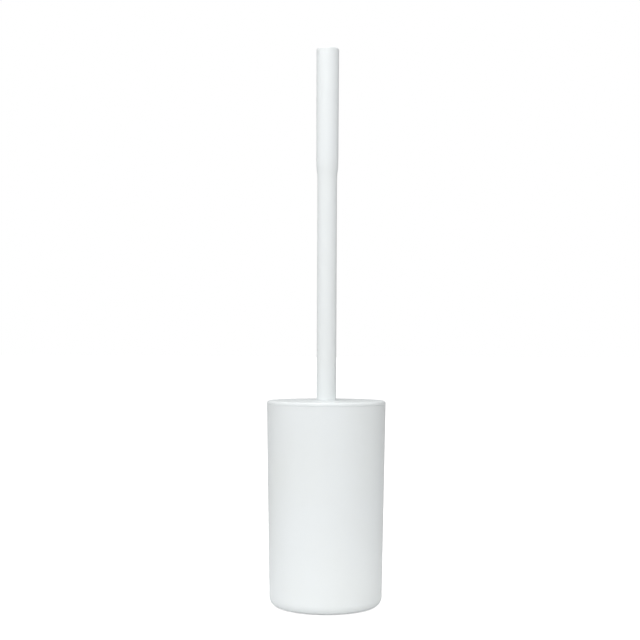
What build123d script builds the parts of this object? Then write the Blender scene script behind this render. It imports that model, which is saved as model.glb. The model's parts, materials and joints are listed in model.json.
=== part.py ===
from build123d import *
import math
import os

# Toilet brush holder: a slim tapered cup on a foot ring, a flush round lid that turns on the
# brush's handle, and a screw-on brush head that hangs clear of the cup's floor.
# Millimetres, +Z up. The origin is the centre of the base, where the foot ring stands.

# ---- overall ----
TOTAL_HEIGHT = 435.0
LID_TOP = 160.0

# ---- cup ----
CUP_TOP_R = 46.35
CUP_TAPER = 2.45
CUP_WALL = 2.2
CUP_FLOOR = 2.4
CUP_BASE_EDGE_R = 6.8
CUP_RIM_OUTER_EDGE_R = 0.5
CUP_RIM_INNER_EDGE_R = 0.6
UNDERSIDE_RECESS = 1.2
FOOT_LAND = 2.8

# ---- foot ring ----
FOOT_STANDS_PROUD = 0.4
FOOT_RING_INSET = 8.6
FOOT_RING_WIDTH = 2.4
FOOT_GROOVE_DEPTH = 1.2
FOOT_EDGE_R = 0.3

# ---- lid ----
LID_THICKNESS = 2.8
LID_EDGE_R = 2.0
LID_LOWER_EDGE_R = 0.15
LID_INNER_EDGE_R = 1.0
LID_SKIRT_DEPTH = 9.0
LID_SKIRT_WALL = 1.8
LID_SKIRT_CLEARANCE = 0.5
LID_HUB_WALL = 5.9
LID_HUB_DEPTH = 4.5
LID_RUNNING_CLEARANCE = 0.1
LID_TOP_PLAY = 0.05
LID_FLANGE_PLAY = 0.3

# ---- handle tube: rod below, thicker grip above ----
ROD_BOTTOM_R = 7.63
ROD_DRAFT = 0.02
GRIP_STEP = 0.96
GRIP_DRAFT = 0.25
GRIP_LENGTH = 87.0
NECK_LENGTH = 18.0
NECK_EASE = 0.63
ROD_WALL = 2.13
GRIP_WALL = 2.2
GRIP_EDGE_R = 1.4

# ---- handle end cap ----
CAP_PLATE = 1.6
CAP_LEDGE = 0.6
CAP_PLUG_LENGTH = 8.0
CAP_PLUG_WALL = 1.4
CAP_SHADOW_GAP = 0.15

# ---- stem: carries the lid and the head ----
STEM_PRESS_LENGTH = 24.0
STEM_CHAMFER = 1.2
STEM_FLANGE_OVERHANG = 4.0
STEM_FLANGE = 3.0
STEM_EDGE_R = 1.0
STEM_SHAFT_R = 5.8
STEM_SHOULDER_INSET = 1.0
STEM_SHOULDER = 4.0
STEM_SHOULDER_CONE = 8.0
STEM_CONE_EDGE_R = 4.0
THREAD_R = 4.5
THREAD_LENGTH = 12.0
THREAD_CHAMFER = 0.8

# ---- washer between stem and head ----
WASHER = 2.0
WASHER_INSET = 1.4
THREAD_CLEARANCE = 0.1

# ---- brush head ----
CORE_R = 11.0
CORE_TOP_MARGIN = 6.0
CORE_EDGE_R = 1.0
SOCKET_SPARE_DEPTH = 2.0
BRUSH_CLEARANCE = 3.9
END_BRISTLE_REACH = 22.0
BRISTLE_FLOOR_GAP = 14.0

# ---- bristle tufts and their staples ----
ROWS = 8
ROW_PITCH = 8.0
FIRST_ROW_RISE = 4.0
TUFTS_PER_ROW = 12
DOME_ROWS = [("bristle_dome_upper", 30.0, 10), ("bristle_dome_lower", 60.0, 6)]
TUFT_R = 1.5
TUFT_TIP_R = 3.2
TUFT_HOLE_DEPTH = 3.5
STAPLE_THICKNESS = 0.4
STAPLE_HEIGHT = 1.5
STAPLE_BITE = 0.35
STAPLE_LIFT = 0.6

# ---- heights that follow from the sizes above ----
CUP_BASE = FOOT_STANDS_PROUD
CUP_UNDERSIDE = CUP_BASE + UNDERSIDE_RECESS
CUP_FLOOR_TOP = CUP_UNDERSIDE + CUP_FLOOR
LID_UNDERSIDE = LID_TOP - LID_THICKNESS
CUP_RIM = LID_UNDERSIDE
LID_HUB_BOTTOM = LID_UNDERSIDE - LID_HUB_DEPTH
ROD_BOTTOM = LID_TOP + LID_TOP_PLAY
GRIP_BOTTOM = TOTAL_HEIGHT - GRIP_LENGTH
ROD_TOP = GRIP_BOTTOM - NECK_LENGTH
FLANGE_TOP = LID_HUB_BOTTOM - LID_FLANGE_PLAY
FLANGE_BOTTOM = FLANGE_TOP - STEM_FLANGE
DOME_CENTRE = CUP_FLOOR_TOP + BRISTLE_FLOOR_GAP + END_BRISTLE_REACH
CORE_TOP = DOME_CENTRE + FIRST_ROW_RISE + ROW_PITCH * (ROWS - 1) + CORE_TOP_MARGIN
SHOULDER = CORE_TOP + WASHER

# ---- radii that follow from the sizes above ----
CUP_BASE_R = CUP_TOP_R - CUP_TAPER
CUP_MOUTH_R = CUP_TOP_R - CUP_WALL
BRUSH_R = CUP_BASE_R - CUP_WALL - BRUSH_CLEARANCE
ROD_TOP_R = ROD_BOTTOM_R + ROD_DRAFT
GRIP_BOTTOM_R = ROD_TOP_R + GRIP_STEP
GRIP_TOP_R = GRIP_BOTTOM_R + GRIP_DRAFT
SKIRT_R = CUP_MOUTH_R - LID_SKIRT_CLEARANCE
ROD_BORE_R = ROD_BOTTOM_R - ROD_WALL
GRIP_BORE_R = GRIP_BOTTOM_R - GRIP_WALL
FOOT_RING_R = CUP_BASE_R - FOOT_RING_INSET
FOOT_INNER_R = FOOT_RING_R - FOOT_RING_WIDTH / 2
FOOT_OUTER_R = FOOT_RING_R + FOOT_RING_WIDTH / 2
LID_HOLE_R = ROD_BORE_R + LID_RUNNING_CLEARANCE
LID_HUB_R = LID_HOLE_R + LID_HUB_WALL
STEM_FLANGE_R = ROD_BORE_R + STEM_FLANGE_OVERHANG
STEM_SHOULDER_R = CORE_R - STEM_SHOULDER_INSET
WASHER_R = CORE_R - WASHER_INSET
HOLE_BOTTOM_R = CORE_R - TUFT_HOLE_DEPTH


def revolved(outline):
    """Turn a closed outline, drawn as X = radius and Z = height, about the Z axis."""
    return revolve(Face(outline), Axis.Z)


def turned(corners):
    """A turned solid from corners given in order as (radius, height, edge radius)."""
    points = [(radius, 0, height) for radius, height, _ in corners]
    edge_radii = [edge for _, _, edge in corners]
    outline = FilletPolyline(*points, radius=edge_radii, close=True)
    return revolved(Wire(outline.edges()))


def ring(inner_r, outer_r, bottom, top, edge=0.0):
    """A plain ring or washer with the same small radius on all its edges."""
    return turned([(inner_r, bottom, edge), (outer_r, bottom, edge),
                   (outer_r, top, edge), (inner_r, top, edge)])


# ---- holder ----

def holder_cup():
    """Tapered cup with a large base radius, a recessed underside and a groove for the foot ring."""
    inner_edge_r = CUP_BASE_EDGE_R - CUP_WALL
    recess_r = FOOT_INNER_R - FOOT_LAND
    cup = turned([
        (0, CUP_UNDERSIDE, 0),
        (recess_r, CUP_UNDERSIDE, 0),
        (recess_r, CUP_BASE, 0),
        (CUP_BASE_R, CUP_BASE, CUP_BASE_EDGE_R),
        (CUP_TOP_R, CUP_RIM, CUP_RIM_OUTER_EDGE_R),
        (CUP_MOUTH_R, CUP_RIM, CUP_RIM_INNER_EDGE_R),
        (CUP_BASE_R - CUP_WALL, CUP_FLOOR_TOP, inner_edge_r),
        (0, CUP_FLOOR_TOP, 0),
    ])
    groove = ring(FOOT_INNER_R, FOOT_OUTER_R,
                  CUP_BASE - FOOT_GROOVE_DEPTH, CUP_BASE + FOOT_GROOVE_DEPTH)
    return cup - groove


def foot_ring():
    """Soft ring pressed into the base groove. The whole object stands on it."""
    return ring(FOOT_INNER_R, FOOT_OUTER_R,
                CUP_BASE - FOOT_STANDS_PROUD, CUP_BASE + FOOT_GROOVE_DEPTH, FOOT_EDGE_R)


# ---- lid ----

def lid_disc():
    """Flat lid, flush with the cup outside, resting on the rim inside the seam that their
    rounded edges leave. A skirt centres it in the mouth and a hub turns on the stem."""
    skirt_inner_r = SKIRT_R - LID_SKIRT_WALL
    skirt_bottom = LID_UNDERSIDE - LID_SKIRT_DEPTH
    skirt_edge_r = LID_SKIRT_WALL / 3
    return turned([
        (LID_HOLE_R, LID_TOP, 0),
        (CUP_TOP_R, LID_TOP, LID_EDGE_R),
        (CUP_TOP_R, LID_UNDERSIDE, LID_LOWER_EDGE_R),
        (SKIRT_R, LID_UNDERSIDE, 0),
        (SKIRT_R, skirt_bottom, skirt_edge_r),
        (skirt_inner_r, skirt_bottom, skirt_edge_r),
        (skirt_inner_r, LID_UNDERSIDE, LID_INNER_EDGE_R),
        (LID_HUB_R, LID_UNDERSIDE, LID_INNER_EDGE_R),
        (LID_HUB_R, LID_HUB_BOTTOM, LID_INNER_EDGE_R),
        (LID_HOLE_R, LID_HUB_BOTTOM, 0),
    ])


# ---- handle ----

def s_curve(start, end):
    """Smooth S from one (radius, height) to another, upright at both ends for the eased share."""
    ease = NECK_EASE * (end[1] - start[1])
    return Bezier((start[0], 0, start[1]), (start[0], 0, start[1] + ease),
                  (end[0], 0, end[1] - ease), (end[0], 0, end[1]))


def handle_tube():
    """One hollow moulding: the rod, a smooth swelling and the thicker grip, open at both ends."""
    cap_seat_r = GRIP_BORE_R + CAP_LEDGE
    cap_seat = TOTAL_HEIGHT - CAP_PLATE
    outer_neck = s_curve((ROD_TOP_R, ROD_TOP), (GRIP_BOTTOM_R, GRIP_BOTTOM))
    bore_neck = s_curve((ROD_BORE_R, ROD_TOP), (GRIP_BORE_R, GRIP_BOTTOM))
    top_edge = FilletPolyline((GRIP_BOTTOM_R, 0, GRIP_BOTTOM), (GRIP_TOP_R, 0, TOTAL_HEIGHT),
                              (cap_seat_r, 0, TOTAL_HEIGHT), radius=GRIP_EDGE_R)
    cap_mouth = Polyline((cap_seat_r, 0, TOTAL_HEIGHT), (cap_seat_r, 0, cap_seat),
                         (GRIP_BORE_R, 0, cap_seat), (GRIP_BORE_R, 0, GRIP_BOTTOM))
    rod_end = Polyline((ROD_BORE_R, 0, ROD_TOP), (ROD_BORE_R, 0, ROD_BOTTOM),
                       (ROD_BOTTOM_R, 0, ROD_BOTTOM), (ROD_TOP_R, 0, ROD_TOP))
    pieces = [outer_neck, top_edge, cap_mouth, bore_neck, rod_end]
    edges = [edge for piece in pieces for edge in piece.edges()]
    return revolved(Wire(edges))


def handle_end_cap():
    """Plug pressed into the top of the grip, flush with it inside a fine seam."""
    plate_r = GRIP_BORE_R + CAP_LEDGE - CAP_SHADOW_GAP
    plate_bottom = TOTAL_HEIGHT - CAP_PLATE
    plug_bottom = plate_bottom - CAP_PLUG_LENGTH
    plug_edge_r = CAP_PLUG_WALL / 3
    plug_inner_r = GRIP_BORE_R - CAP_PLUG_WALL
    return turned([
        (0, TOTAL_HEIGHT, 0),
        (plate_r, TOTAL_HEIGHT, CAP_SHADOW_GAP),
        (plate_r, plate_bottom, 0),
        (GRIP_BORE_R, plate_bottom, 0),
        (GRIP_BORE_R, plug_bottom, plug_edge_r),
        (plug_inner_r, plug_bottom, plug_edge_r),
        (plug_inner_r, plate_bottom, 0),
        (0, plate_bottom, 0),
    ])


def stem():
    """Solid moulding pressed into the rod: neck for the lid, flange that carries the lid,
    shaft, shoulder and the spigot that the head screws onto."""
    press_top = ROD_BOTTOM + STEM_PRESS_LENGTH
    shoulder_top = SHOULDER + STEM_SHOULDER
    cone_top = shoulder_top + STEM_SHOULDER_CONE
    spigot_end = SHOULDER - THREAD_LENGTH
    return turned([
        (0, press_top, 0),
        (ROD_BORE_R - STEM_CHAMFER, press_top, 0),
        (ROD_BORE_R, press_top - STEM_CHAMFER, 0),
        (ROD_BORE_R, FLANGE_TOP, 0),
        (STEM_FLANGE_R, FLANGE_TOP, STEM_EDGE_R),
        (STEM_FLANGE_R, FLANGE_BOTTOM, STEM_EDGE_R),
        (STEM_SHAFT_R, FLANGE_BOTTOM, STEM_EDGE_R),
        (STEM_SHAFT_R, cone_top, STEM_CONE_EDGE_R),
        (STEM_SHOULDER_R, shoulder_top, STEM_CONE_EDGE_R),
        (STEM_SHOULDER_R, SHOULDER, 0),
        (THREAD_R, SHOULDER, 0),
        (THREAD_R, spigot_end + THREAD_CHAMFER, 0),
        (THREAD_R - THREAD_CHAMFER, spigot_end, 0),
        (0, spigot_end, 0),
    ])


# ---- head ----

def head_washer():
    """Soft washer clamped between the stem's shoulder and the head."""
    return ring(THREAD_R + THREAD_CLEARANCE, WASHER_R, CORE_TOP, SHOULDER)


def tuft_places(height, tilt, count, turn):
    """Places for one ring of tufts. Each place has its +Z axis along the tuft, tilted down
    from level by the tilt angle, and starts on the head's axis."""
    ring_places = []
    for index in range(count):
        angle = math.radians(turn + 360 * index / count)
        level = math.cos(math.radians(tilt))
        drop = math.sin(math.radians(tilt))
        along = Vector(level * math.cos(angle), level * math.sin(angle), -drop)
        upright = Vector(drop * math.cos(angle), drop * math.sin(angle), level)
        ring_places.append(Plane(origin=(0, 0, height), x_dir=upright, z_dir=along))
    return ring_places


def tuft_reach(tilt):
    """Distance from the dome's centre to the tuft tips: the brush's end is half an ellipse."""
    across = math.cos(math.radians(tilt)) / BRUSH_R
    down = math.sin(math.radians(tilt)) / END_BRISTLE_REACH
    return 1 / math.hypot(across, down)


def tuft_rings():
    """Every ring of tufts on the head as (node name, places, reach), from the top row down."""
    half_step = 180 / TUFTS_PER_ROW
    rings = []
    for row in range(ROWS):
        height = DOME_CENTRE + FIRST_ROW_RISE + ROW_PITCH * (ROWS - 1 - row)
        places = tuft_places(height, 0, TUFTS_PER_ROW, half_step * (row % 2))
        rings.append((f"bristle_row_{row + 1}", places, BRUSH_R))
    for name, tilt, count in DOME_ROWS:
        rings.append((name, tuft_places(DOME_CENTRE, tilt, count, half_step), tuft_reach(tilt)))
    end = [Plane(origin=(0, 0, DOME_CENTRE), x_dir=(1, 0, 0), z_dir=(0, 0, -1))]
    rings.append(("bristle_end_tuft", end, END_BRISTLE_REACH))
    return rings


def staple():
    """Flat wire staple that holds a folded tuft, lying across the bottom of its hole."""
    length = 2 * (TUFT_R + STAPLE_BITE)
    middle = HOLE_BOTTOM_R + STAPLE_LIFT + STAPLE_HEIGHT / 2
    return Pos(0, 0, middle) * Box(length, STAPLE_THICKNESS, STAPLE_HEIGHT)


def tuft(reach):
    """Bundle of bristles: round in its hole, then spreading to its tip."""
    root = Pos(0, 0, HOLE_BOTTOM_R) * Cylinder(
        TUFT_R, TUFT_HOLE_DEPTH, align=(Align.CENTER, Align.CENTER, Align.MIN))
    spread = Pos(0, 0, CORE_R) * Cone(
        TUFT_R, TUFT_TIP_R, reach - CORE_R, align=(Align.CENTER, Align.CENTER, Align.MIN))
    return root + spread - staple()


def tuft_hole():
    """Cutter for one tuft hole, with the slots that its staple bites into the core."""
    hole = Pos(0, 0, HOLE_BOTTOM_R) * Cylinder(
        TUFT_R, 2 * TUFT_HOLE_DEPTH, align=(Align.CENTER, Align.CENTER, Align.MIN))
    return hole + staple()


def placed(shape, places):
    """Copies of one shape, one at each place."""
    return [place.location * shape for place in places]


def head_core():
    """Round-ended core with the threaded socket in its top and a hole for every tuft."""
    socket_r = THREAD_R + THREAD_CLEARANCE
    socket_bottom = SHOULDER - THREAD_LENGTH - SOCKET_SPARE_DEPTH
    slant = CORE_R * math.sin(math.radians(45))
    dome = ThreePointArc((0, 0, DOME_CENTRE - CORE_R), (slant, 0, DOME_CENTRE - slant),
                         (CORE_R, 0, DOME_CENTRE))
    side = FilletPolyline((CORE_R, 0, DOME_CENTRE), (CORE_R, 0, CORE_TOP),
                          (socket_r, 0, CORE_TOP), radius=CORE_EDGE_R)
    socket = Polyline((socket_r, 0, CORE_TOP), (socket_r, 0, socket_bottom),
                      (0, 0, socket_bottom), (0, 0, DOME_CENTRE - CORE_R))
    body = revolved(Wire([edge for piece in (dome, side, socket) for edge in piece.edges()]))
    cutters = [hole for _, places, _ in tuft_rings() for hole in placed(tuft_hole(), places)]
    return body - cutters


def tuft_staples():
    """All the staples, one in each tuft."""
    return [piece for _, places, _ in tuft_rings() for piece in placed(staple(), places)]


# ---- write one file for each piece ----

def nodes():
    """Every piece of the object by name."""
    pieces = {
        "holder_cup": holder_cup(),
        "foot_ring": foot_ring(),
        "lid_disc": lid_disc(),
        "handle_tube": handle_tube(),
        "handle_end_cap": handle_end_cap(),
        "stem": stem(),
        "head_washer": head_washer(),
        "head_core": head_core(),
        "tuft_staples": Compound(children=tuft_staples()),
    }
    for name, places, reach in tuft_rings():
        pieces[name] = Compound(children=placed(tuft(reach), places))
    return pieces


os.makedirs("parts", exist_ok=True)
for node_name, shape in nodes().items():
    export_step(shape, f"parts/{node_name}.step")
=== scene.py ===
import json
import math
import random

import bpy
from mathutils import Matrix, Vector


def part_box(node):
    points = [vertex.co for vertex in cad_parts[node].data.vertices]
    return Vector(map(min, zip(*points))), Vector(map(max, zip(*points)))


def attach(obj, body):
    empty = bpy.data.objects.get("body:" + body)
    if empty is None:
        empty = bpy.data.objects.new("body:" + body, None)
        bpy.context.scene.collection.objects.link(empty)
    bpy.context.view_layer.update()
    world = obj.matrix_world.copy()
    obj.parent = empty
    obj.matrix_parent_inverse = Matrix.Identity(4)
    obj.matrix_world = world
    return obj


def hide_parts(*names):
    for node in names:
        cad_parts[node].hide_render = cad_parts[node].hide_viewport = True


# A white toilet brush holder: tapered cup, flush lid on a straight handle, and a brush head of
# nylon tufts inside. Metres, +Z up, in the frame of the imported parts.

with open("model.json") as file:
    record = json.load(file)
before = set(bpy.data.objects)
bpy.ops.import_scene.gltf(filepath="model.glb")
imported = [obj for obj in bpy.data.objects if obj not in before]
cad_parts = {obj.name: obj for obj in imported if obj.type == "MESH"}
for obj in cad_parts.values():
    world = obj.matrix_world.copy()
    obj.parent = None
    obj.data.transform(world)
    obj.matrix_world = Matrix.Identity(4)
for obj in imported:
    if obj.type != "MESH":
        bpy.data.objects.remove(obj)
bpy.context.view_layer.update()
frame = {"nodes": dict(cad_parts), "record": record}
nodes = frame["nodes"]
record = frame["record"]

MM = 0.001

# ---- the photograph's view ----
CAMERA_DISTANCE = 0.9387
CAMERA_HEIGHT = 0.1967
CAMERA_ROLL = 0.0042
FOCAL_LENGTH = 67.5
SENSOR_WIDTH = 36.0
FRAME_SHIFT = (-0.0102, 0.0522)

# ---- studio light: soft boxes (metres and watts), and a world that is brightest in front ----
SOFT_BOXES = {
    "fill": dict(place=(0.9, -1.6, 0.5), target=(0, 0, 0.2), size=1.0, power=1.1),
    "left": dict(place=(-1.5, -0.45, 0.4), target=(0, 0, 0.2), size=0.8, power=0.9),
    "top": dict(place=(-0.2, -0.3, 1.3), target=(0, 0, 0.4), size=1.2, power=6.8),
    "high_front": dict(place=(-0.15, -0.78, 1.05), target=(0, 0, 0.47), size=0.5, power=3.2),
}
WORLD_LEVEL = 0.628
WORLD_FRONT = 0.368

# ---- floor: shaded under the base, with a pool of light round it ----
FLOOR_HALF_SIZE = 60.0
FLOOR_GLOW = 0.8
FLOOR_POOL = 0.3
SHADE_RADIUS = 0.04
POOL_FULL_RADIUS = 0.072
POOL_RADIUS = 0.24

# ---- the values between which most of a noise lies ----
NOISE_LOW = 0.3
NOISE_HIGH = 0.7

# ---- plastics ----
WHITE = (0.815, 0.848, 0.858)
CLOUD_TINT = (0.985, 0.98, 0.965)
SCUFF_HEIGHT = 12.0 * MM

# ---- bristle tufts, as they stand on the head ----
TUFTS_PER_ROW = 12
LEVEL_ROWS = 8
DOME_RINGS = {"bristle_dome_upper": (30.0, 10), "bristle_dome_lower": (60.0, 6)}
DOME_SEED = 20
END_SEED = 30
TUFT_ROOT_RADIUS = 1.3 * MM
TUFT_TIP_RADIUS = 3.3 * MM
FIRST_ROW_RISE = 4.0 * MM
HOLE_DEPTH = 3.2 * MM
FILAMENTS_PER_TUFT = 34
FILAMENT_RADIUS = 0.17 * MM
FILAMENT_SIDES = 5
FILAMENT_RINGS = 7
FILAMENT_BOW = 0.5 * MM
FILAMENT_LENGTH_SPREAD = 1.4 * MM
FILAMENT_ANGLE_SPREAD = 0.2
FILAMENT_TIP_SPREAD = (0.75, 1.12)
FILAMENT_SPLAY_POWER = 1.3
CENTRE_LENGTH_SHARE = 0.4
TIP_ROUNDING = 0.8
TUFT_TONES = (0.25, 0.6)
FILAMENT_TONES = (-0.25, 0.4)
GOLDEN_ANGLE = math.pi * (3 - math.sqrt(5))

# ---- thread on the stem's spigot ----
SPIGOT_MARGIN = 0.1 * MM
SHOULDER_MARGIN = 0.01 * MM
THREAD_CREST_RADIUS = 4.45 * MM
THREAD_ROOT_RADIUS = 3.75 * MM
THREAD_CREST_HALF_WIDTH = 0.35 * MM
THREAD_ROOT_HALF_WIDTH = 0.95 * MM
THREAD_END_GAP = 1.3 * MM
THREAD_SUNK = 0.2 * MM
THREAD_FADE_TURNS = 0.3
THREAD_LEAST_RISE = 0.02
THREAD_STEPS_PER_TURN = 48


# ---- node helpers ----

class Tree:
    """Short calls for building a node tree."""

    def __init__(self, owner):
        owner.use_nodes = True
        self.nodes = owner.node_tree.nodes
        self.links = owner.node_tree.links
        self.nodes.clear()

    def add(self, kind, inputs=None, **settings):
        node = self.nodes.new(kind)
        for name, value in settings.items():
            setattr(node, name, value)
        for socket, value in (inputs or {}).items():
            node.inputs[socket].default_value = value
        return node

    def link(self, source, output, target, socket):
        self.links.new(source.outputs[output], target.inputs[socket])

    def noise(self, scale, detail=2.0, roughness=0.5):
        """Noise fixed to the object, with its scale in features for each metre."""
        noise = self.add("ShaderNodeTexNoise",
                         {"Scale": scale, "Detail": detail, "Roughness": roughness})
        self.link(self.add("ShaderNodeTexCoord"), "Object", noise, "Vector")
        return noise

    def ramp(self, source, output, start, end, low, high, smooth=False):
        """Maps a value between start and end onto low to high, and holds it beyond them."""
        shape = "SMOOTHSTEP" if smooth else "LINEAR"
        node = self.add("ShaderNodeMapRange",
                        {"From Min": start, "From Max": end, "To Min": low, "To Max": high},
                        interpolation_type=shape)
        self.link(source, output, node, "Value")
        return node

    def spread(self, noise, low, high):
        """Maps the part of a noise where most of it lies onto a range."""
        return self.ramp(noise, "Fac", NOISE_LOW, NOISE_HIGH, low, high)

    def combine(self, operation, first, first_output, second, second_output=None):
        """Joins two values. The second may be a plain number."""
        node = self.add("ShaderNodeMath", operation=operation)
        self.link(first, first_output, node, 0)
        if second_output is None:
            node.inputs[1].default_value = second
        else:
            self.link(second, second_output, node, 1)
        return node

    def blend(self, source, output, first, second):
        """Mixes two colours by a 0 to 1 value and returns the socket with the result."""
        mix = self.add("ShaderNodeMix", data_type="RGBA")
        colours = [socket for socket in mix.inputs if socket.type == "RGBA"]
        for socket, colour in zip(colours, (first, second)):
            socket.default_value = (*colour, 1)
        self.link(source, output, mix, 0)
        return next(socket for socket in mix.outputs if socket.type == "RGBA")

    def bump(self, height, strength, distance, under=None):
        """A bump from a noise, on top of another bump if one is given."""
        bump = self.add("ShaderNodeBump", {"Strength": strength, "Distance": distance})
        self.link(height, "Fac", bump, "Height")
        if under:
            self.link(under, "Normal", bump, "Normal")
        return bump


def new_material(name, fixed):
    """A material with one Principled shader, whose even values are set on its own sockets."""
    material = bpy.data.materials.new(name)
    tree = Tree(material)
    shader = tree.add("ShaderNodeBsdfPrincipled", fixed)
    tree.link(shader, "BSDF", tree.add("ShaderNodeOutputMaterial"), "Surface")
    return material, tree, shader


# ---- materials ----

def moulded_plastic(name, roughness=0.5, scuffed=False):
    """White injection-moulded plastic: slightly cloudy colour, uneven gloss, a fine eroded grain
    and slow waviness from cooling. A scuffed piece is duller and scratched next to the floor."""
    material, tree, shader = new_material(name, {"IOR": 1.46})
    warm = tuple(channel * factor for channel, factor in zip(WHITE, CLOUD_TINT))
    clouds = tree.spread(tree.noise(scale=18.0, detail=3.0), low=0.0, high=1.0)
    tree.links.new(tree.blend(clouds, "Result", WHITE, warm), shader.inputs["Base Color"])
    smears = tree.noise(scale=32.0, detail=4.0, roughness=0.6)
    gloss = tree.spread(smears, low=roughness - 0.05, high=roughness + 0.06)
    if scuffed:
        place = tree.add("ShaderNodeTexCoord")
        height = tree.add("ShaderNodeSeparateXYZ")
        tree.link(place, "Object", height, "Vector")
        near_floor = tree.ramp(height, "Z", start=0.0, end=SCUFF_HEIGHT, low=1.0, high=0.0,
                               smooth=True)
        marks = tree.noise(scale=900.0, detail=3.0, roughness=0.7)
        scratches = tree.spread(marks, low=0.0, high=0.16)
        scuffs = tree.combine("MULTIPLY", near_floor, "Result", scratches, "Result")
        total = tree.combine("ADD", gloss, "Result", scuffs, "Value")
        tree.link(total, "Value", shader, "Roughness")
    else:
        tree.link(gloss, "Result", shader, "Roughness")
    grain = tree.bump(tree.noise(scale=2600.0), strength=0.25, distance=0.02 * MM)
    waves = tree.bump(tree.noise(scale=26.0, detail=1.0), strength=0.12, distance=0.25 * MM,
                      under=grain)
    tree.link(waves, "Normal", shader, "Normal")
    return material


def soft_rubber():
    """Light grey rubber with a matte, slightly dusty skin."""
    material, tree, shader = new_material("soft_rubber", {"IOR": 1.5})
    dust = tree.noise(scale=150.0, detail=4.0, roughness=0.65)
    dusty = tree.spread(dust, low=0.0, high=1.0)
    tint = tree.blend(dusty, "Result", (0.42, 0.43, 0.44), (0.52, 0.53, 0.53))
    tree.links.new(tint, shader.inputs["Base Color"])
    tree.link(tree.spread(dust, low=0.7, high=0.85), "Result", shader, "Roughness")
    skin = tree.bump(tree.noise(scale=1500.0), strength=0.4, distance=0.05 * MM)
    tree.link(skin, "Normal", shader, "Normal")
    return material


def nylon():
    """Filament nylon: each filament has its own tone, with fine streaks in its gloss."""
    material, tree, shader = new_material("nylon_bristle", {"IOR": 1.53})
    tone = tree.add("ShaderNodeAttribute", attribute_name="filament_tone")
    tint = tree.blend(tone, "Fac", (0.70, 0.72, 0.73), (0.88, 0.90, 0.90))
    tree.links.new(tint, shader.inputs["Base Color"])
    streaks = tree.noise(scale=900.0, detail=3.0)
    tree.link(tree.spread(streaks, low=0.28, high=0.45), "Result", shader, "Roughness")
    ridges = tree.bump(streaks, strength=0.2, distance=0.02 * MM)
    tree.link(ridges, "Normal", shader, "Normal")
    return material


def staple_wire():
    """Drawn flat steel wire with fine scratches."""
    material, tree, shader = new_material("staple_wire", {"Metallic": 1.0})
    scratches = tree.noise(scale=3000.0, detail=4.0)
    tint = tree.blend(scratches, "Fac", (0.42, 0.42, 0.43), (0.66, 0.66, 0.67))
    tree.links.new(tint, shader.inputs["Base Color"])
    tree.link(tree.spread(scratches, low=0.25, high=0.45), "Result", shader, "Roughness")
    return material


def pale_floor():
    """Plain white studio floor. It looks evenly white to the camera. A pool of light round the
    object throws a little light up onto its wall, and fades out under the base."""
    material, tree, shader = new_material(
        "pale_floor", {"Roughness": 0.75, "Emission Color": (1, 1, 1, 1)})
    clouds = tree.noise(scale=1.2)
    tint = tree.blend(clouds, "Fac", (0.77, 0.77, 0.77), (0.79, 0.79, 0.79))
    tree.links.new(tint, shader.inputs["Base Color"])
    glow = tree.combine("MULTIPLY", tree.add("ShaderNodeLightPath"), "Is Camera Ray", FLOOR_GLOW)
    distance = tree.add("ShaderNodeVectorMath", operation="LENGTH")
    tree.link(tree.add("ShaderNodeTexCoord"), "Object", distance, 0)
    shade = tree.ramp(distance, "Value", start=SHADE_RADIUS, end=POOL_FULL_RADIUS,
                      low=0.0, high=1.0)
    fade = tree.ramp(distance, "Value", start=POOL_FULL_RADIUS, end=POOL_RADIUS,
                     low=FLOOR_POOL, high=0.0, smooth=True)
    pool = tree.combine("MULTIPLY", shade, "Result", fade, "Result")
    light = tree.combine("ADD", pool, "Value", glow, "Value")
    tree.link(light, "Value", shader, "Emission Strength")
    return material


# ---- new pieces ----

def new_piece(name, vertices, faces, material):
    """A smooth-shaded mesh object in the scene."""
    mesh = bpy.data.meshes.new(name)
    mesh.from_pydata(vertices, [], faces)
    mesh.polygons.foreach_set("use_smooth", [True] * len(mesh.polygons))
    mesh.materials.append(material)
    piece = bpy.data.objects.new(name, mesh)
    bpy.context.scene.collection.objects.link(piece)
    return piece


# ---- bristles ----

def tuft_axes(tilt, count, turn):
    """Unit directions of one ring of tufts, tilted down from level."""
    level = math.cos(math.radians(tilt))
    drop = math.sin(math.radians(tilt))
    angles = [math.radians(turn + 360 * index / count) for index in range(count)]
    return [Vector((level * math.cos(a), level * math.sin(a), -drop)) for a in angles]


def filament_line(axis, start, reach, index, draw):
    """Points along one filament: straight out of its hole, then leaning and bowing outwards."""
    across = axis.orthogonal().normalized()
    beside = axis.cross(across)
    share = math.sqrt((index + 0.5) / FILAMENTS_PER_TUFT)
    angle = index * GOLDEN_ANGLE + draw.uniform(-FILAMENT_ANGLE_SPREAD, FILAMENT_ANGLE_SPREAD)
    outward = across * math.cos(angle) + beside * math.sin(angle)
    sideways = axis.cross(outward)
    root = TUFT_ROOT_RADIUS * share
    tip = TUFT_TIP_RADIUS * share * draw.uniform(*FILAMENT_TIP_SPREAD)
    bow = draw.uniform(-FILAMENT_BOW, FILAMENT_BOW)
    shortfall = draw.uniform(0.0, FILAMENT_LENGTH_SPREAD) * (CENTRE_LENGTH_SHARE + share)
    length = reach - start - shortfall
    points = []
    for ring in range(FILAMENT_RINGS):
        along = ring / (FILAMENT_RINGS - 1)
        radius = root + (tip - root) * along ** FILAMENT_SPLAY_POWER
        wave = bow * math.sin(math.pi * along)
        points.append(axis * (start + length * along) + outward * radius + sideways * wave)
    return points


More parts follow.
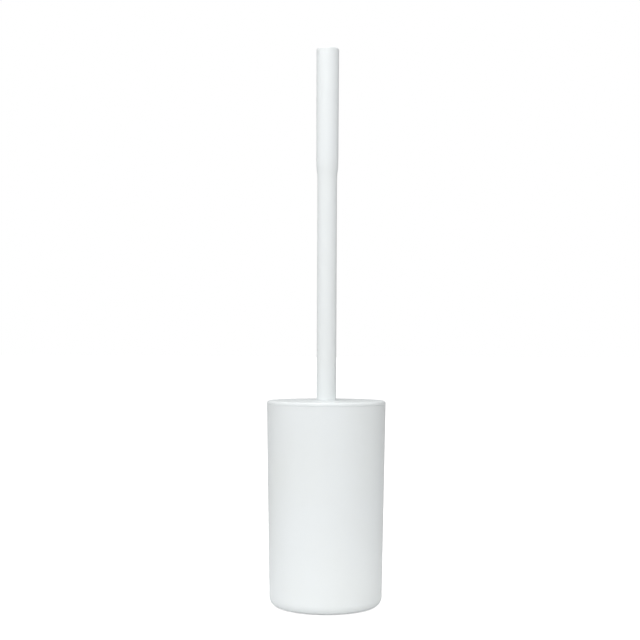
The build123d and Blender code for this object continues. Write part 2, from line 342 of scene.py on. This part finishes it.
def add_filament(points, vertices, faces):
    """Adds a thin closed tube along the points, with a rounded tip."""
    first = len(vertices)
    for index, point in enumerate(points):
        ahead = points[min(index + 1, len(points) - 1)] - points[max(index - 1, 0)]
        across = ahead.orthogonal().normalized()
        beside = ahead.normalized().cross(across)
        for side in range(FILAMENT_SIDES):
            turn = 2 * math.pi * side / FILAMENT_SIDES
            offset = across * math.cos(turn) + beside * math.sin(turn)
            vertices.append(point + FILAMENT_RADIUS * offset)
    for ring in range(len(points) - 1):
        here = first + ring * FILAMENT_SIDES
        for side in range(FILAMENT_SIDES):
            after = (side + 1) % FILAMENT_SIDES
            faces.append((here + side, here + after,
                          here + FILAMENT_SIDES + after, here + FILAMENT_SIDES + side))
    last = first + (len(points) - 1) * FILAMENT_SIDES
    tip = len(vertices)
    onward = (points[-1] - points[-2]).normalized()
    vertices.append(points[-1] + onward * FILAMENT_RADIUS * TIP_ROUNDING)
    root = len(vertices)
    vertices.append(points[0])
    for side in range(FILAMENT_SIDES):
        after = (side + 1) % FILAMENT_SIDES
        faces.append((last + side, last + after, tip))
        faces.append((first + after, first + side, root))


def bristle_ring(node, centre, axes, start, reach, material, seed):
    """All the filaments of one ring of tufts, as one mesh that stands for its plain solids."""
    draw = random.Random(seed)
    vertices = []
    faces = []
    tones = []
    for axis in axes:
        tuft_tone = draw.uniform(*TUFT_TONES)
        for index in range(FILAMENTS_PER_TUFT):
            line = filament_line(axis, start, reach, index, draw)
            before = len(vertices)
            add_filament([centre + point for point in line], vertices, faces)
            tone = min(1.0, max(0.0, tuft_tone + draw.uniform(*FILAMENT_TONES)))
            tones += [tone] * (len(vertices) - before)
    piece = new_piece(node + "_filaments", vertices, faces, material)
    attribute = piece.data.attributes.new("filament_tone", "FLOAT", "POINT")
    attribute.data.foreach_set("value", tones)
    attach(piece, "head")
    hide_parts(node)


def brush_bristles(material):
    """Every ring of tufts: level rows, tilted rings on the rounded end, and the end tuft."""
    half_step = 180 / TUFTS_PER_ROW
    core_low, core_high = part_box("head_core")
    start = (core_high.x - core_low.x) / 2 - HOLE_DEPTH
    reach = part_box("bristle_row_1")[1].x
    for row in range(LEVEL_ROWS):
        node = f"bristle_row_{row + 1}"
        low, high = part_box(node)
        centre = Vector((0, 0, (low.z + high.z) / 2))
        axes = tuft_axes(0, TUFTS_PER_ROW, half_step * (row % 2))
        bristle_ring(node, centre, axes, start, reach, material, seed=row)
    lowest_row = centre
    dome_centre = lowest_row - Vector((0, 0, FIRST_ROW_RISE))
    end_reach = dome_centre.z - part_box("bristle_end_tuft")[0].z
    for number, (node, (tilt, count)) in enumerate(DOME_RINGS.items()):
        across = math.cos(math.radians(tilt)) / reach
        down = math.sin(math.radians(tilt)) / end_reach
        axes = tuft_axes(tilt, count, half_step)
        bristle_ring(node, dome_centre, axes, start, 1 / math.hypot(across, down), material,
                     seed=DOME_SEED + number)
    bristle_ring("bristle_end_tuft", dome_centre, [Vector((0, 0, -1))], start, end_reach,
                 material, seed=END_SEED)


# ---- threaded stem ----

def narrow_stem(shoulder, material):
    """The stem again, with its plain spigot narrowed to the root of the thread."""
    mesh = nodes["stem"].data.copy()
    scale = THREAD_ROOT_RADIUS / THREAD_CREST_RADIUS
    spigot_radius = THREAD_CREST_RADIUS + SPIGOT_MARGIN
    for vertex in mesh.vertices:
        below_shoulder = vertex.co.z < shoulder + SHOULDER_MARGIN
        if below_shoulder and math.hypot(vertex.co.x, vertex.co.y) < spigot_radius:
            vertex.co.x *= scale
            vertex.co.y *= scale
    mesh.materials.clear()
    mesh.materials.append(material)
    piece = bpy.data.objects.new("stem_body", mesh)
    bpy.context.scene.collection.objects.link(piece)
    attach(piece, "handle")
    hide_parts("stem")


def thread_ridge(shoulder, material):
    """The right-handed thread, as one ridge that winds down the spigot and fades at both ends."""
    spigot_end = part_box("stem")[0].z
    radians_per_metre = record["behaviour"]["couplings"][0]["ratio"]
    pitch = 2 * math.pi / radians_per_metre
    bottom = spigot_end + THREAD_END_GAP
    turns = (shoulder - THREAD_END_GAP - bottom) / pitch
    steps = round(turns * THREAD_STEPS_PER_TURN)
    sunk_radius = THREAD_ROOT_RADIUS - THREAD_SUNK
    vertices = []
    faces = []
    for step in range(steps + 1):
        turn = turns * step / steps
        height = bottom + pitch * turn
        rise = min(1.0, turn / THREAD_FADE_TURNS, (turns - turn) / THREAD_FADE_TURNS)
        crest = sunk_radius + (THREAD_CREST_RADIUS - sunk_radius) * max(rise, THREAD_LEAST_RISE)
        profile = [(sunk_radius, -THREAD_ROOT_HALF_WIDTH), (crest, -THREAD_CREST_HALF_WIDTH),
                   (crest, THREAD_CREST_HALF_WIDTH), (sunk_radius, THREAD_ROOT_HALF_WIDTH)]
        angle = 2 * math.pi * turn
        for radius, offset in profile:
            vertices.append((radius * math.cos(angle), radius * math.sin(angle), height + offset))
    corners = len(profile)
    for step in range(steps):
        for corner in range(corners):
            here = step * corners + corner
            beside = step * corners + (corner + 1) % corners
            faces.append((here, here + corners, beside + corners, beside))
    last = steps * corners
    faces.append((0, 1, 2, 3))
    faces.append((last + 3, last + 2, last + 1, last))
    piece = new_piece("stem_thread", vertices, faces, material)
    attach(piece, "handle")


# ---- stage, lights and camera ----

def studio_floor():
    half = FLOOR_HALF_SIZE
    corners = [(-half, -half, 0), (half, -half, 0), (half, half, 0), (-half, half, 0)]
    new_piece("studio_floor", corners, [(0, 1, 2, 3)], pale_floor())


def soft_box(name, place, target, size, power):
    """A square soft light aimed at a point."""
    light = bpy.data.lights.new(name, "AREA")
    light.shape = "SQUARE"
    light.size = size
    light.energy = power
    lamp = bpy.data.objects.new(name, light)
    lamp.location = place
    aim = Vector(target) - Vector(place)
    lamp.rotation_euler = aim.to_track_quat("-Z", "Y").to_euler()
    bpy.context.scene.collection.objects.link(lamp)


def studio_world():
    """White to the camera. As light it is dimmer, and fades from the front to the back."""
    world = bpy.data.worlds.new("studio")
    bpy.context.scene.world = world
    tree = Tree(world)
    seen = tree.add("ShaderNodeBackground", {"Color": (1, 1, 1, 1)})
    light = tree.add("ShaderNodeBackground")
    direction = tree.add("ShaderNodeSeparateXYZ")
    tree.link(tree.add("ShaderNodeTexCoord"), "Generated", direction, "Vector")
    front = tree.combine("MULTIPLY", direction, "Y", -WORLD_FRONT)
    level = tree.combine("ADD", front, "Value", WORLD_LEVEL)
    tree.link(level, "Value", light, "Strength")
    mix = tree.add("ShaderNodeMixShader")
    tree.link(tree.add("ShaderNodeLightPath"), "Is Camera Ray", mix, 0)
    tree.link(light, "Background", mix, 1)
    tree.link(seen, "Background", mix, 2)
    tree.link(mix, "Shader", tree.add("ShaderNodeOutputWorld"), "Surface")


def studio_camera():
    data = bpy.data.cameras.new("camera")
    data.lens = FOCAL_LENGTH
    data.sensor_width = SENSOR_WIDTH
    data.shift_x, data.shift_y = FRAME_SHIFT
    camera = bpy.data.objects.new("camera", data)
    camera.location = (0, -CAMERA_DISTANCE, CAMERA_HEIGHT)
    camera.rotation_euler = (math.pi / 2, 0, 0)
    camera.rotation_euler.rotate_axis("Z", CAMERA_ROLL)
    bpy.context.scene.collection.objects.link(camera)
    bpy.context.scene.camera = camera


# ---- the object ----

finishes = {
    "cup_plastic": moulded_plastic("cup_plastic", scuffed=True),
    "lid_plastic": moulded_plastic("lid_plastic"),
    "handle_plastic": moulded_plastic("handle_plastic", roughness=0.46),
    "stem_plastic": moulded_plastic("stem_plastic"),
    "head_plastic": moulded_plastic("head_plastic"),
    "soft_rubber": soft_rubber(),
    "staple_wire": staple_wire(),
    "bristles": nylon(),
}

for subpart in record["subparts"]:
    mesh = nodes[subpart["node"]].data
    mesh.materials.clear()
    mesh.materials.append(finishes[subpart["material_slot"]])

brush_bristles(finishes["bristles"])
stem_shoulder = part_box("head_washer")[1].z
narrow_stem(stem_shoulder, finishes["stem_plastic"])
thread_ridge(stem_shoulder, finishes["stem_plastic"])

studio_floor()
studio_world()
for box_name, settings in SOFT_BOXES.items():
    soft_box(box_name, **settings)
studio_camera()
bpy.context.scene.view_settings.view_transform = "Standard"
